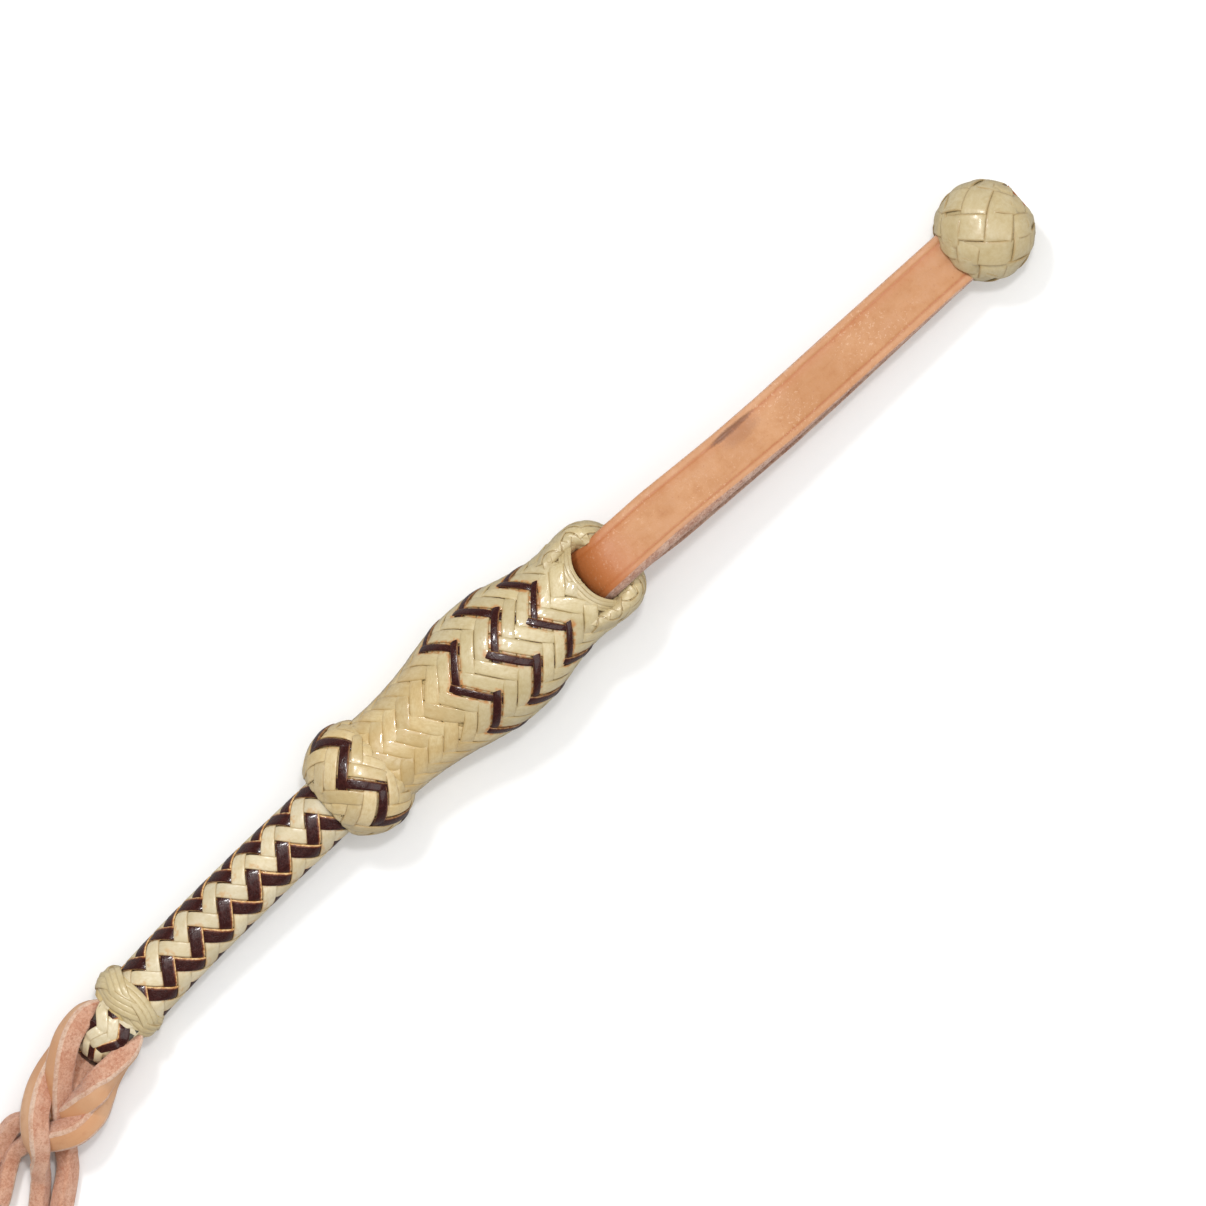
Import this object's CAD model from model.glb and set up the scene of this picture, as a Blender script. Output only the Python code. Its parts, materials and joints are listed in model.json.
# A short whip braided from natural and dark rawhide, lying on the floor along x.
# Towards +x: the handle with its swell, the eye, the wrist strap and its knob.
# Towards -x: the lower button, the flexible body, the ring knot, the end loop and a lash
# with four tails. Lengths are in millimetres until Piece.make turns them into metres.
import json
import math
import bpy
import bmesh
import numpy as np
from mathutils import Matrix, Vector
from mathutils.kdtree import KDTree


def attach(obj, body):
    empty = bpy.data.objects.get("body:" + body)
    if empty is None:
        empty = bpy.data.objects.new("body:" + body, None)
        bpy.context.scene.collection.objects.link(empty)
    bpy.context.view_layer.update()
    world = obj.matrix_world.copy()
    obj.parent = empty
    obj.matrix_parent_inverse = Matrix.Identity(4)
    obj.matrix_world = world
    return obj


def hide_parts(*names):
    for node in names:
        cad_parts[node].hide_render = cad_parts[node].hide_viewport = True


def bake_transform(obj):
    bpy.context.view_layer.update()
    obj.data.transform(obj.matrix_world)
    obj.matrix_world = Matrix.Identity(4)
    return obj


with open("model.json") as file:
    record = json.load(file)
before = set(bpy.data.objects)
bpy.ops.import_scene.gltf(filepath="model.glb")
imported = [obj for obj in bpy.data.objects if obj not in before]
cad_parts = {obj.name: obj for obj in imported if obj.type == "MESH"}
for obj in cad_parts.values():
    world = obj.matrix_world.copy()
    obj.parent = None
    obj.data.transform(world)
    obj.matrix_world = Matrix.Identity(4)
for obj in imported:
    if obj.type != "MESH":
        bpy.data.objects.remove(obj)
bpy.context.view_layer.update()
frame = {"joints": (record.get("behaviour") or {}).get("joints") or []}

JOINTS = {joint["name"]: joint for joint in frame["joints"]}
MM = 0.001
rng = np.random.RandomState(11)


# ------------------------------------------------------------------ numbers and curves
def unit(vectors):
    vectors = np.asarray(vectors, float)
    return vectors / np.maximum(np.linalg.norm(vectors, axis=-1, keepdims=True), 1e-12)


def smooth(start, end, x):
    """0 at start, 1 at end, eased; start may be the larger"""
    t = np.clip((np.asarray(x, float) - start) / (end - start), 0, 1)
    return t * t * (3 - 2 * t)


def table(pairs, x):
    pairs = np.array(pairs, float)
    return np.interp(x, pairs[:, 0], pairs[:, 1])


def columns_at(where, stations, rows):
    """each column of rows, interpolated"""
    return np.stack([np.interp(where, stations, column) for column in rows.T], -1)


def arc_lengths(points):
    return np.concatenate([[0], np.cumsum(np.linalg.norm(np.diff(points, axis=0), axis=1))])


def evenly(points, count):
    length = arc_lengths(points)
    return columns_at(np.linspace(0, length[-1], count), length, points)


def spline(points, count):
    """centripetal Catmull-Rom curve through the points, sampled at even arc length"""
    points = np.array(points, float)
    padded = np.vstack([2 * points[0] - points[1], points, 2 * points[-1] - points[-2]])
    curve = []
    for i in range(1, len(padded) - 2):
        four = padded[i - 1:i + 3]
        steps = np.linalg.norm(np.diff(four, axis=0), axis=1) ** 0.5
        knots = np.concatenate([[0], np.cumsum(steps)])
        t = np.linspace(knots[1], knots[2], 24, endpoint=False)[:, None]

        def between(a, b, first, second):
            return ((knots[b] - t) * first + (t - knots[a]) * second) / (knots[b] - knots[a])

        lines = [between(k, k + 1, four[k], four[k + 1]) for k in range(3)]
        bends = [between(k, k + 2, lines[k], lines[k + 1]) for k in range(2)]
        curve.append(between(1, 2, *bends))
    return evenly(np.vstack(curve + [points[-1:]]), count)


def relaxed(rows):
    """every row but the ends, averaged with its neighbours"""
    out = rows.copy()
    out[1:-1] = (rows[:-2] + 2 * rows[1:-1] + rows[2:]) / 4
    return out


def moving_average(values, window):
    padded = np.pad(values, window // 2, mode="edge")
    return np.convolve(padded, np.ones(window) / window, mode="valid")


def outward_normals(path, centre=(0.0, 0.0)):
    """normals of a flat path, pointing away from centre"""
    tangents = unit(np.gradient(path, axis=0))
    normals = np.stack([tangents[:, 1], -tangents[:, 0]], 1)
    return normals if np.sum((path - np.array(centre)) * normals) > 0 else -normals


def over_under(wave, sharpness=3.0):
    """a cosine squared off: 1 where a lace passes over, -1 where it passes under"""
    return np.tanh(sharpness * wave) / math.tanh(sharpness)


def circle(sides):
    t = np.linspace(0, 2 * math.pi, sides, endpoint=False)
    return np.stack([np.cos(t), np.sin(t)], 1)


def radial(y_axes, z_axes, angles):
    return y_axes * np.cos(angles)[:, None] + z_axes * np.sin(angles)[:, None]


def placed(origin, axes, x, y, z):
    """points from local coordinates, which may be arrays of any matching shape"""
    x, y, z = np.broadcast_arrays(*(np.asarray(v, float) for v in (x, y, z)))
    return origin + x[..., None] * axes[0] + y[..., None] * axes[1] + z[..., None] * axes[2]


# ------------------------------------------------------------------ the frame
def joint_at(name):
    return np.array(JOINTS[name]["pos_m"], float) * 1000


BAR_X = 52.6                             # the eye's bar, from the handle's own origin
BAR_IN_FRAME = joint_at("wrist_strap_swing")
Z_WORLD = np.array([0.0, 0.0, 1.0])
HANDLE_Z = unit(JOINTS["body_flex_side"]["axis"])
HANDLE_X = np.array([HANDLE_Z[2], 0.0, -HANDLE_Z[0]])
HANDLE_Y = np.array([0.0, 1.0, 0.0])
HANDLE_AXES = (HANDLE_X, HANDLE_Y, HANDLE_Z)
HANDLE_ORIGIN = BAR_IN_FRAME - BAR_X * HANDLE_X
HANDLE_HEIGHT = 18.27                    # of the handle's origin above the floor
DRAWING = HANDLE_ORIGIN - np.array([0, 0, HANDLE_HEIGHT])   # where the drawing's origin lies


def on_handle(x, y, z):
    return placed(HANDLE_ORIGIN, HANDLE_AXES, x, y, z)


# ------------------------------------------------------------------ mesh building
# cross-section of a lace: across and through, both from -1 to 1
LACE = np.array([
    (1.0, -0.15), (0.96, 0.42), (0.84, 0.78), (0.5, 0.97), (0, 1.04), (-0.5, 0.97),
    (-0.84, 0.78), (-0.96, 0.42), (-1.0, -0.15), (-0.9, -0.9), (0, -1.0), (0.9, -0.9)])
LACE_THICK = 0.56


class Piece:
    """one mesh in the making; "lace" holds (across, along, a random tone) at each point
    and "stain" how much dye the point has taken"""

    def __init__(self):
        self.points, self.faces, self.mats, self.lace, self.stain = [], [], [], [], []
        self.count = 0

    def tube(self, rings, lace=None, mats=0, closed=False, split_ends=False, stain=None):
        """skin over a row of rings. mats is one slot or one per side; split_ends gives
        the end faces their own points"""
        count, sides = rings.shape[:2]
        total, last = count * sides, (count - 1) * sides
        points = rings.reshape(-1, 3)
        lace = np.zeros((total, 3)) if lace is None else lace
        stain = np.zeros(total) if stain is None else stain
        mats = [mats] * sides if isinstance(mats, int) else mats
        spans = count if closed else count - 1
        faces = []
        for i in range(spans):
            here, there = i * sides, ((i + 1) % count) * sides
            for j in range(sides):
                k = (j + 1) % sides
                faces.append([here + j, here + k, there + k, there + j])
        face_mats = mats * spans
        if not closed:
            ends = (0, last)
            if split_ends:
                copied = list(range(sides)) + list(range(last, total))
                points = np.vstack([points, points[copied]])
                lace = np.vstack([lace, lace[copied]])
                stain = np.concatenate([stain, stain[copied]])
                ends = (total, total + sides)
            faces.append(list(range(ends[0], ends[0] + sides))[::-1])
            faces.append(list(range(ends[1], ends[1] + sides)))
            face_mats = face_mats + [mats[-1]] * 2
        self.points.append(points)
        self.faces += [[i + self.count for i in face] for face in faces]
        self.mats += face_mats
        self.lace.append(lace)
        self.stain.append(stain)
        self.count += len(points)

    def sweep(self, path, normals, width, thick, profile=LACE, closed=False, side=None,
              mats=0, wobble=0.0, stain=None):
        """carry a profile along a path; side is the direction its +across edge should face"""
        count, sides = len(path), len(profile)
        if closed:
            tangents = unit(np.roll(path, -1, 0) - np.roll(path, 1, 0))
        else:
            tangents = unit(np.gradient(path, axis=0))
        across = unit(np.cross(normals, tangents))
        through = unit(np.cross(tangents, across))
        if side is not None and np.mean(across @ side) < 0:
            across = -across
        width = np.broadcast_to(np.asarray(width, float), (count,))
        thick = np.broadcast_to(np.asarray(thick, float), (count,))
        along = arc_lengths(path)
        if wobble:
            phase = rng.rand(3) * 6.28
            wave = np.sin(along / 5.3 + phase[0]) * 0.5 + np.sin(along / 2.9 + phase[1]) * 0.3
            width = width * (1 + wobble * wave)
        wide = profile[:, 0] * width[:, None] / 2
        deep = profile[:, 1] * thick[:, None] / 2
        rings = (path[:, None] + across[:, None] * wide[..., None]
                 + through[:, None] * deep[..., None])
        lace = np.stack([np.tile(profile[:, 0], count), np.repeat(along, sides),
                         np.full(count * sides, rng.rand())], 1)
        if stain is not None:
            stain = np.repeat(stain, sides)
        self.tube(rings, lace, mats, closed, split_ends=True, stain=stain)

    def make(self, name, materials, slot, body=None, blend=None, replaces=(), dye=None):
        """the finished object. blend is (body, body, start, end); dye is (points, near, far)
        and stains fully within near of the points and not at all beyond far"""
        points = np.vstack(self.points) * MM
        mesh = bpy.data.meshes.new(name)
        mesh.from_pydata(points.tolist(), [], self.faces)
        stain = np.concatenate(self.stain).astype(np.float32)
        if dye:
            sources, near, far = dye
            tree = KDTree(len(sources))
            for i, source in enumerate(sources):
                tree.insert(source * MM, i)
            tree.balance()
            for i, point in enumerate(points):
                distance = tree.find(point)[2] * 1000
                stain[i] = max(0.0, min(1.0, 1 - (distance - near) / (far - near)))
        lace = np.vstack(self.lace).astype(np.float32)
        attribute = mesh.attributes.new("lace", "FLOAT_VECTOR", "POINT")
        attribute.data.foreach_set("vector", lace.ravel())
        attribute = mesh.attributes.new("stain", "FLOAT", "POINT")
        attribute.data.foreach_set("value", stain)
        for material in materials:
            mesh.materials.append(material)
        mesh.polygons.foreach_set("material_index", np.array(self.mats, np.int32))
        editable = bmesh.new()
        editable.from_mesh(mesh)
        quads = [face for face in editable.faces if len(face.verts) == 4]
        bmesh.ops.recalc_face_normals(editable, faces=quads)
        editable.to_mesh(mesh)
        editable.free()
        mesh.polygons.foreach_set("use_smooth", [True] * len(mesh.polygons))
        made = bpy.data.objects.new(name, mesh)
        bpy.context.scene.collection.objects.link(made)
        if blend:
            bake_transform(made)
        else:
            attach(made, body)
        if replaces:
            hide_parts(*replaces)


# ------------------------------------------------------------------ material building
class Shader:
    """a Principled material, with short calls for the nodes that feed it"""

    def __init__(self, name):
        self.material = bpy.data.materials.new(name)
        self.material.use_nodes = True
        self.tree = self.material.node_tree
        self.tree.nodes.clear()
        output = self.node("OutputMaterial")
        self.bsdf = self.node("BsdfPrincipled")
        self.feed(output.inputs[0], self.bsdf.outputs[0])

    def node(self, kind, **settings):
        node = self.tree.nodes.new("ShaderNode" + kind)
        for key, value in settings.items():
            setattr(node, key, value)
        return node

    def feed(self, socket, value):
        """link a socket, or set a colour or a number"""
        if isinstance(value, bpy.types.NodeSocket):
            self.tree.links.new(value, socket)
        else:
            socket.default_value = (*value, 1) if isinstance(value, tuple) else value

    def math(self, operation, a, b=0.0):
        node = self.node("Math", operation=operation)
        self.feed(node.inputs[0], a)
        self.feed(node.inputs[1], b)
        return node.outputs[0]

    def mul(self, a, b):
        return self.math("MULTIPLY", a, b)

    def add(self, a, b):
        return self.math("ADD", a, b)

    def sub(self, a, b):
        return self.math("SUBTRACT", a, b)

    def ramp(self, value, over, to=(0.0, 1.0), kind="SMOOTHSTEP"):
        node = self.node("MapRange", interpolation_type=kind)
        for socket, number in zip(node.inputs, (value, *over, *to)):
            self.feed(socket, number)
        return node.outputs[0]

    def band(self, value, rise, fall):
        return self.mul(self.ramp(value, over=rise), self.ramp(value, over=fall, to=(1.0, 0.0)))

    def noise(self, vector, scale, detail=3.0, rough=0.55, warp=0.0):
        node = self.node("TexNoise")
        for key, value in (("Vector", vector), ("Scale", scale), ("Detail", detail),
                           ("Roughness", rough), ("Distortion", warp)):
            self.feed(node.inputs[key], value)
        return node.outputs["Fac"]

    def mix(self, amount, a, b):
        node = self.node("Mix", data_type="RGBA")
        self.feed(node.inputs[0], amount)
        self.feed(node.inputs[6], a)
        self.feed(node.inputs[7], b)
        return node.outputs[2]

    def tint(self, color, other, amount, strength=None):
        """color moved towards other"""
        if strength is not None:
            amount = self.mul(amount, strength)
        return self.mix(amount, color, other)

    def scaled(self, color, factor):
        node = self.node("VectorMath", operation="SCALE")
        self.feed(node.inputs[0], color)
        self.feed(node.inputs[3], factor)
        return node.outputs[0]

    def attribute(self, name, output):
        return self.node("Attribute", attribute_name=name).outputs[output]

    def split(self, vector):
        node = self.node("SeparateXYZ")
        self.feed(node.inputs[0], vector)
        return node.outputs

    def combine(self, *values):
        node = self.node("CombineXYZ")
        for socket, value in zip(node.inputs, values):
            self.feed(socket, value)
        return node.outputs[0]

    def lace(self):
        """across, along and the random tone"""
        return self.split(self.attribute("lace", "Vector"))

    def place(self):
        return self.node("TexCoord").outputs["Object"]

    def fibres(self, lace, across, along, scale, warp):
        """streaks that run with the lace, different on each one"""
        spots = self.combine(self.mul(lace[0], across), self.mul(lace[1], along),
                             self.mul(lace[2], 40))
        return self.noise(spots, scale=scale, detail=4, rough=0.6, warp=warp)

    def bump(self, height, strength, depth, under=None):
        node = self.node("Bump")
        node.inputs["Strength"].default_value = strength
        node.inputs["Distance"].default_value = depth
        self.feed(node.inputs["Height"], height)
        if under is not None:
            self.feed(node.inputs["Normal"], under)
        return node.outputs[0]

    def hide_relief(self, mid, grain, fine, strength):
        """relief of varnished rawhide: soft dents under fibres and pores"""
        height = self.add(self.mul(grain, 0.7), self.mul(fine, 0.3))
        dents = self.bump(mid, strength=strength, depth=0.0004)
        return self.bump(height, strength=0.35, depth=0.00012, under=dents)

    def finish(self, color, rough, normal=None, coat=0.0, coat_rough=0.2, spec=0.5, sheen=0.0):
        sockets = self.bsdf.inputs
        for key, value in (("Base Color", color), ("Roughness", rough), ("Coat Weight", coat),
                           ("Coat Roughness", coat_rough), ("Specular IOR Level", spec),
                           ("Sheen Weight", sheen)):
            self.feed(sockets[key], value)
        if normal is not None:
            self.feed(sockets["Normal"], normal)
        return self.material


# ------------------------------------------------------------------ materials
def rawhide(name, base, warm, shade, coat, rough, edge_amount=0.6):
    m = Shader(name)
    lace = m.lace()
    place = m.place()
    big = m.noise(place, scale=140, detail=2)
    mid = m.noise(place, scale=700)
    grain = m.fibres(lace, across=2.2, along=0.35, scale=2.2, warp=0.4)
    fine = m.noise(place, scale=5200, detail=2)
    color = m.mix(m.ramp(big, over=(0.35, 0.7)), base, warm)
    color = m.tint(color, shade, m.ramp(mid, over=(0.4, 0.75)), strength=0.45)
    # every lace has its own tone
    color = m.scaled(color, m.ramp(lace[2], over=(0, 1), to=(0.9, 1.08), kind="LINEAR"))
    color = m.tint(color, shade, m.ramp(grain, over=(0.35, 0.7)), strength=0.35)
    # varnish and dirt gather at a lace's edges
    edge = m.ramp(m.math("ABSOLUTE", lace[0]), over=(0.80, 1.0))
    edge_color = tuple(c * k for c, k in zip(shade, (0.74, 0.62, 0.48)))
    color = m.tint(color, edge_color, edge, strength=edge_amount)
    # dye that has run out of the dark laces
    stain = m.attribute("stain", "Fac")
    run = m.mul(m.ramp(stain, over=(0.2, 0.9)), m.ramp(mid, over=(0.40, 0.62), to=(0.10, 1.0)))
    color = m.tint(color, (0.50, 0.25, 0.075), run, strength=0.5)
    # a stain above 1 is a stretch of lace dyed dark
    color = m.tint(color, (0.028, 0.018, 0.013), m.ramp(stain, over=(1.4, 1.8)))
    normal = m.hide_relief(mid, grain, fine, strength=0.25)
    roughness = m.ramp(grain, over=(0.3, 0.75), to=(rough - 0.08, rough + 0.12))
    return m.finish(color, roughness, normal, coat=coat, coat_rough=0.16)


def dark_rawhide(name, raw_edge=1.0):
    """dyed rawhide; raw_edge is how much of the undyed hide shows at the cut edge"""
    m = Shader(name)
    lace = m.lace()
    across, along, tone = lace
    mid = m.noise(m.place(), scale=900)
    grain = m.fibres(lace, across=2.5, along=0.3, scale=2.5, warp=0.3)
    color = m.mix(m.ramp(mid, over=(0.4, 0.72)), (0.029, 0.0062, 0.0052), (0.046, 0.0090, 0.0066))
    color = m.tint(color, (0.090, 0.023, 0.014), m.ramp(grain, over=(0.50, 0.85)), strength=0.40)
    ragged = m.noise(m.combine(along, 0.0, m.mul(tone, 9)), scale=1.1)
    across_ragged = m.add(across, m.mul(m.sub(ragged, 0.5), 0.34))
    # the dye thins out before it reaches the cut edge
    thin = m.ramp(across_ragged, over=(0.52, 0.84))
    color = m.tint(color, (0.230, 0.060, 0.018), thin, strength=0.75 * raw_edge)
    raw = m.ramp(across_ragged, over=(0.76, 0.90))
    other_edge = m.mul(m.ramp(m.mul(across, -1.0), over=(0.90, 1.0)), 0.45)
    undyed = m.mix(m.ramp(mid, over=(0.35, 0.65)), (0.46, 0.22, 0.070), (0.74, 0.50, 0.23))
    color = m.tint(color, undyed, m.math("MAXIMUM", raw, other_edge), strength=raw_edge)
    normal = m.bump(mid, strength=0.35, depth=0.0003)
    normal = m.bump(grain, strength=0.55, depth=0.00018, under=normal)
    roughness = m.ramp(mid, over=(0.3, 0.7), to=(0.16, 0.34))
    return m.finish(color, roughness, normal, coat=0.4, coat_rough=0.08, spec=0.30)


def strap_wear(m, color, across, place, mid, fine):
    """creased edges, stains and scuffs of the wrist strap"""
    reach = m.math("ABSOLUTE", across)
    reach = m.add(reach, m.mul(m.sub(mid, 0.5), 0.07))
    far_edge = m.ramp(across, over=(-0.2, 0.2))
    # creased line inside each edge, and the dressed rim outside it
    line = m.band(reach, rise=(0.62, 0.70), fall=(0.70, 0.76))
    broken = m.ramp(fine, over=(0.3, 0.62), to=(0.35, 0.85))
    color = m.tint(color, (0.370, 0.115, 0.036), m.mul(line, broken))
    glow = m.band(reach, rise=(0.30, 0.70), fall=(0.70, 0.74))
    color = m.tint(color, (0.430, 0.150, 0.048), m.mul(glow, far_edge), strength=0.45)
    rim = m.band(reach, rise=(0.73, 0.80), fall=(0.90, 0.97))
    color = m.tint(color, (0.500, 0.250, 0.130), rim, strength=0.38)
    outer = m.ramp(reach, over=(0.90, 0.99))
    patchy = m.ramp(fine, over=(0.40, 0.58), to=(0.3, 1.0))
    color = m.tint(color, (0.560, 0.360, 0.250), m.mul(outer, patchy))
    # tension darkens the fold where it goes down through the eye
    fold = m.math("MINIMUM", m.attribute("stain", "Fac"), 1.0)
    color = m.tint(color, (0.400, 0.118, 0.030), fold, strength=0.86)
    where = m.split(place)
    # ragged oval stains: centre and radii on the drawing's x and y, strength, colour
    for centre, radii, strength, tone in (
            ((99.6, 5.2), (7.4, 0.95), 0.85, (0.130, 0.046, 0.016)),
            ((101.5, 3.0), (5.6, 2.7), 0.45, (0.250, 0.078, 0.016)),
            ((75.0, -6.6), (7.0, 1.2), 0.40, (0.330, 0.150, 0.080))):
        x, y = [m.math("DIVIDE", m.sub(where[k], (DRAWING[k] + centre[k]) * MM), radii[k] * MM)
                for k in range(2)]
        distance = m.add(m.mul(x, x), m.mul(y, y))
        for rough_edge in (mid, fine):
            distance = m.add(distance, m.mul(m.sub(rough_edge, 0.5), 1.6))
        color = m.tint(color, tone, m.ramp(distance, over=(1.6, 0.0)), strength=strength)
    # scuffs in patches, then pits
    patch = m.ramp(m.noise(place, scale=38, detail=2), over=(0.42, 0.60))
    scratches = m.noise(place, scale=1150, detail=4, rough=0.75)
    scuff = m.mul(m.ramp(scratches, over=(0.56, 0.64)), patch)
    color = m.tint(color, (0.66, 0.42, 0.27), scuff, strength=0.42)
    pits = m.ramp(m.noise(place, scale=900, detail=5, rough=0.8), over=(0.60, 0.67))
    return m.tint(color, (0.330, 0.105, 0.034), pits, strength=0.55)


def leather_grain(name, base, light, dark, rough=0.46, strap=False):
    m = Shader(name)
    place = m.place()
    across, along, tone = m.lace()
    big = m.noise(place, scale=45, rough=0.6)
    mid = m.noise(place, scale=260, detail=5, rough=0.66)
    pores = m.node("TexVoronoi")
    m.feed(pores.inputs["Vector"], place)
    m.feed(pores.inputs["Scale"], 2600)
    fine = m.noise(place, scale=1500, detail=4, rough=0.7)
    streak = m.noise(m.combine(m.mul(across, 3.0), m.mul(along, 0.05), tone),
                     scale=3.0, detail=4, rough=0.65)
    color = m.mix(m.ramp(big, over=(0.38, 0.66)), base, light)
    color = m.tint(color, dark, m.ramp(mid, over=(0.5, 0.8)), strength=0.5)
    color = m.tint(color, light, m.ramp(fine, over=(0.55, 0.75)), strength=0.30)
    color = m.tint(color, dark, m.ramp(streak, over=(0.55, 0.8)), strength=0.35)
    if strap:
        color = strap_wear(m, color, across, place, mid, fine)
    holes = m.ramp(pores.outputs["Distance"], over=(0.0, 0.25), to=(1.0, 0.0))
    height = m.sub(m.mul(fine, 0.8), m.mul(holes, 0.5))
    normal = m.bump(mid, strength=0.2, depth=0.0006)
    normal = m.bump(height, strength=0.42, depth=0.00016, under=normal)
    roughness = m.ramp(mid, over=(0.3, 0.7), to=(rough - 0.05, rough + 0.12))
    return m.finish(color, roughness, normal, coat=0.06, coat_rough=0.35, spec=0.4)


def leather_flesh(name, base, light, dark):
    """cut edges and the flesh side: pinkish, fibrous and dull"""
    m = Shader(name)
    place = m.place()
    big = m.noise(place, scale=130, detail=4, rough=0.65)
    mottle = m.noise(place, scale=420, detail=5, rough=0.75, warp=0.5)
    flock = m.noise(place, scale=1350, detail=4, rough=0.8)
    fuzz = m.noise(place, scale=3000, detail=4, rough=0.8)
    pale = tuple(min(1, c * 1.12) for c in light)
    color = m.mix(m.ramp(big, over=(0.40, 0.64)), base, light)
    # each layer: its noise, the range it fades in over, strength, colour
    for layer, over, strength, tone in (
            (mottle, (0.50, 0.66), 0.65, dark),
            (mottle, (0.48, 0.36), 0.35, pale),
            (flock, (0.50, 0.62), 0.60, pale),
            (flock, (0.48, 0.38), 0.55, dark),
            (fuzz, (0.54, 0.68), 0.40, dark)):
        color = m.tint(color, tone, m.ramp(layer, over=over), strength=strength)
    normal = m.bump(mottle, strength=0.5, depth=0.0006)
    normal = m.bump(flock, strength=0.8, depth=0.0005, under=normal)
    normal = m.bump(fuzz, strength=0.8, depth=0.0003, under=normal)
    return m.finish(color, 0.88, normal, spec=0.15, sheen=0.25)


def plain_hide(name, first, second, rough=0.7):
    m = Shader(name)
    place = m.place()
    coarse = m.noise(place, scale=500, detail=4)
    fine = m.noise(place, scale=3000)
    color = m.mix(m.ramp(coarse, over=(0.35, 0.65)), first, second)
    normal = m.bump(coarse, strength=0.4, depth=0.0004)
    normal = m.bump(fine, strength=0.4, depth=0.00015, under=normal)
    return m.finish(color, rough, normal, spec=0.3)


def handle_rawhide():
    """the handle's cover: paler towards the wrist, warm and glossy at the grip"""
    m = Shader("rawhide_handle")
    lace = m.lace()
    place = m.place()
    mid = m.noise(place, scale=700)
    big = m.noise(place, scale=130, detail=2)
    x = m.add(m.split(place)[0], m.mul(m.sub(big, 0.5), 0.010))
    grip = m.ramp(x, over=((DRAWING[0] + 3.0) * MM, (DRAWING[0] - 10.0) * MM))
    grain = m.fibres(lace, across=2.2, along=0.35, scale=2.2, warp=0.4)
    fine = m.noise(place, scale=5200, detail=2)
    pale = m.mix(m.ramp(big, over=(0.35, 0.7)), (0.540, 0.455, 0.275), (0.495, 0.405, 0.220))
    warm = m.mix(m.ramp(big, over=(0.35, 0.7)), (0.570, 0.450, 0.240), (0.530, 0.385, 0.175))
    color = m.mix(grip, pale, warm)
    shade = m.mix(grip, (0.390, 0.285, 0.120), (0.410, 0.265, 0.090))
    color = m.tint(color, shade, m.ramp(mid, over=(0.4, 0.75)), strength=0.42)
    color = m.scaled(color, m.ramp(lace[2], over=(0, 1), to=(0.90, 1.09), kind="LINEAR"))
    color = m.tint(color, shade, m.ramp(grain, over=(0.35, 0.7)), strength=0.32)
    # dirt towards and along the edges of each lace
    edge = m.ramp(m.math("ABSOLUTE", lace[0]), over=(0.80, 1.0))
    soft = m.ramp(m.math("ABSOLUTE", lace[0]), over=(0.45, 1.0))
    soft_amount = m.ramp(grip, over=(0, 1), to=(0.16, 0.34), kind="LINEAR")
    color = m.tint(color, shade, m.mul(soft, soft_amount))
    edge_color = m.mix(grip, (0.360, 0.240, 0.085), (0.470, 0.300, 0.100))
    color = m.tint(color, edge_color, edge, strength=0.55)
    # dye run out of the dark laces
    stain = m.attribute("stain", "Fac")
    run = m.mul(m.ramp(stain, over=(0.15, 0.95)), m.ramp(mid, over=(0.40, 0.60), to=(0.12, 1.0)))
    color = m.tint(color, (0.46, 0.185, 0.045), run, strength=0.85)
    normal = m.hide_relief(mid, grain, fine, strength=0.28)
    roughness = m.ramp(grain, over=(0.3, 0.75), to=(0.32, 0.5))
    material = m.finish(color, roughness, normal, coat=0.3, coat_rough=0.08)
    gloss = m.ramp(grip, over=(0, 1), to=(0.50, 0.95), kind="LINEAR")
    m.feed(m.bsdf.inputs["Coat Weight"], gloss)
    return material


NATURAL = rawhide(
    "rawhide_natural", base=(0.600, 0.525, 0.370), warm=(0.560, 0.470, 0.295),
    shade=(0.470, 0.365, 0.185), coat=0.22, rough=0.40)
KNOT = rawhide(
    "rawhide_knot", base=(0.540, 0.450, 0.270), warm=(0.500, 0.400, 0.215),
    shade=(0.410, 0.300, 0.130), coat=0.30, rough=0.38, edge_amount=0.65)
GRIP = rawhide(
    "rawhide_grip", base=(0.580, 0.470, 0.275), warm=(0.540, 0.415, 0.205),
    shade=(0.440, 0.300, 0.120), coat=0.5, rough=0.34, edge_amount=0.5)
DARK = dark_rawhide("rawhide_dark")
DARK_FINE = dark_rawhide("rawhide_dark_fine", raw_edge=0.30)
STRAP = leather_grain(
    "strap_leather", base=(0.425, 0.188, 0.066), light=(0.480, 0.230, 0.094),
    dark=(0.350, 0.130, 0.040), strap=True)
STRAP_EDGE = leather_flesh(
    "strap_cut_edge", base=(0.450, 0.250, 0.170), light=(0.560, 0.370, 0.275),
    dark=(0.290, 0.110, 0.060))
# slots of the lash: grain side, flesh, rim
LASH_MATERIALS = [
    leather_grain("lash_leather_grain", base=(0.560, 0.285, 0.140),
                  light=(0.610, 0.360, 0.205), dark=(0.430, 0.180, 0.075), rough=0.50),
    leather_flesh("lash_leather_flesh", base=(0.560, 0.275, 0.170),
                  light=(0.650, 0.385, 0.265), dark=(0.430, 0.150, 0.075)),
    leather_flesh("lash_leather_rim", base=(0.620, 0.385, 0.265),
                  light=(0.690, 0.500, 0.375), dark=(0.510, 0.240, 0.145))]
BACKING = plain_hide("rawhide_backing", (0.36, 0.255, 0.105), (0.48, 0.36, 0.17))
LOOP_INSIDE = plain_hide("loop_inside", (0.030, 0.027, 0.022), (0.075, 0.068, 0.055), rough=0.38)
UNDER_LAYER = plain_hide("rawhide_under_layer", (0.47, 0.34, 0.14), (0.60, 0.46, 0.22), rough=0.5)
HANDLE_COVER = handle_rawhide()

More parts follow.
